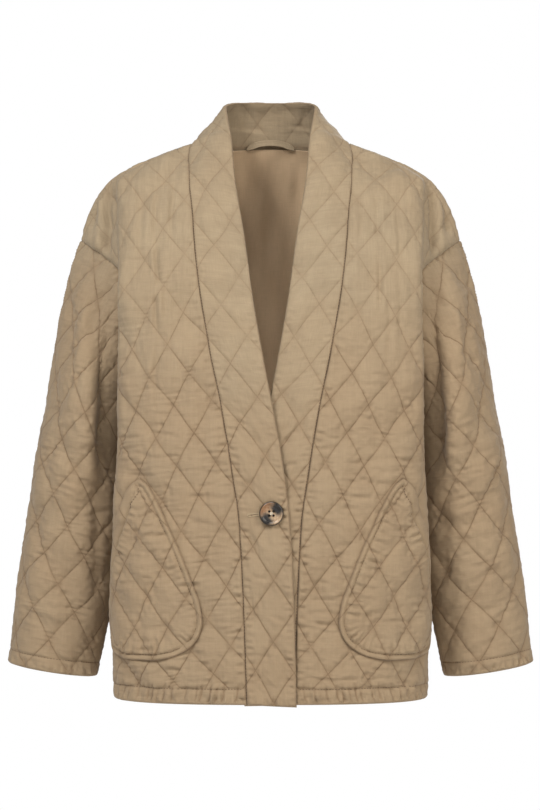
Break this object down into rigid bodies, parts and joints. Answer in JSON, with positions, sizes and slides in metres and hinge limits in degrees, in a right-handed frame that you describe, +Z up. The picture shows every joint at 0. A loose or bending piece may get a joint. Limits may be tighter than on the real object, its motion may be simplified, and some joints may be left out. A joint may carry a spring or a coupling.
{
  "type": "quilted jacket",
  "caption": "Collarless quilted jacket with drop-shoulder sleeves, teardrop patch pockets and a button on a wide front band, filled out as worn.",
  "frame": {"origin": "midway between the points where the shoulder seams meet the neck, where the wearer's shoulders hold the jacket", "axes": "+X to the wearer's left, -Y to the front, +Z up"},
  "size_m": [0.629, 0.284, 0.7169],
  "materials": {
    "quilted_cloth": "matt woven cotton, diamond quilted",
    "lining_cloth": "smooth plain weave with a faint sheen",
    "button_horn": "mottled horn, soft polish"
  },
  "bodies": {
    "root": {"back": "quilted_cloth", "back_lining": "lining_cloth", "band": "quilted_cloth", "button": "button_horn", "front_left": "quilted_cloth", "front_right": "quilted_cloth", "hanger_loop": "quilted_cloth", "pocket_left": "quilted_cloth", "pocket_right": "quilted_cloth", "sleeve_left": "quilted_cloth", "sleeve_right": "quilted_cloth"}
  },
  "joints": []
}
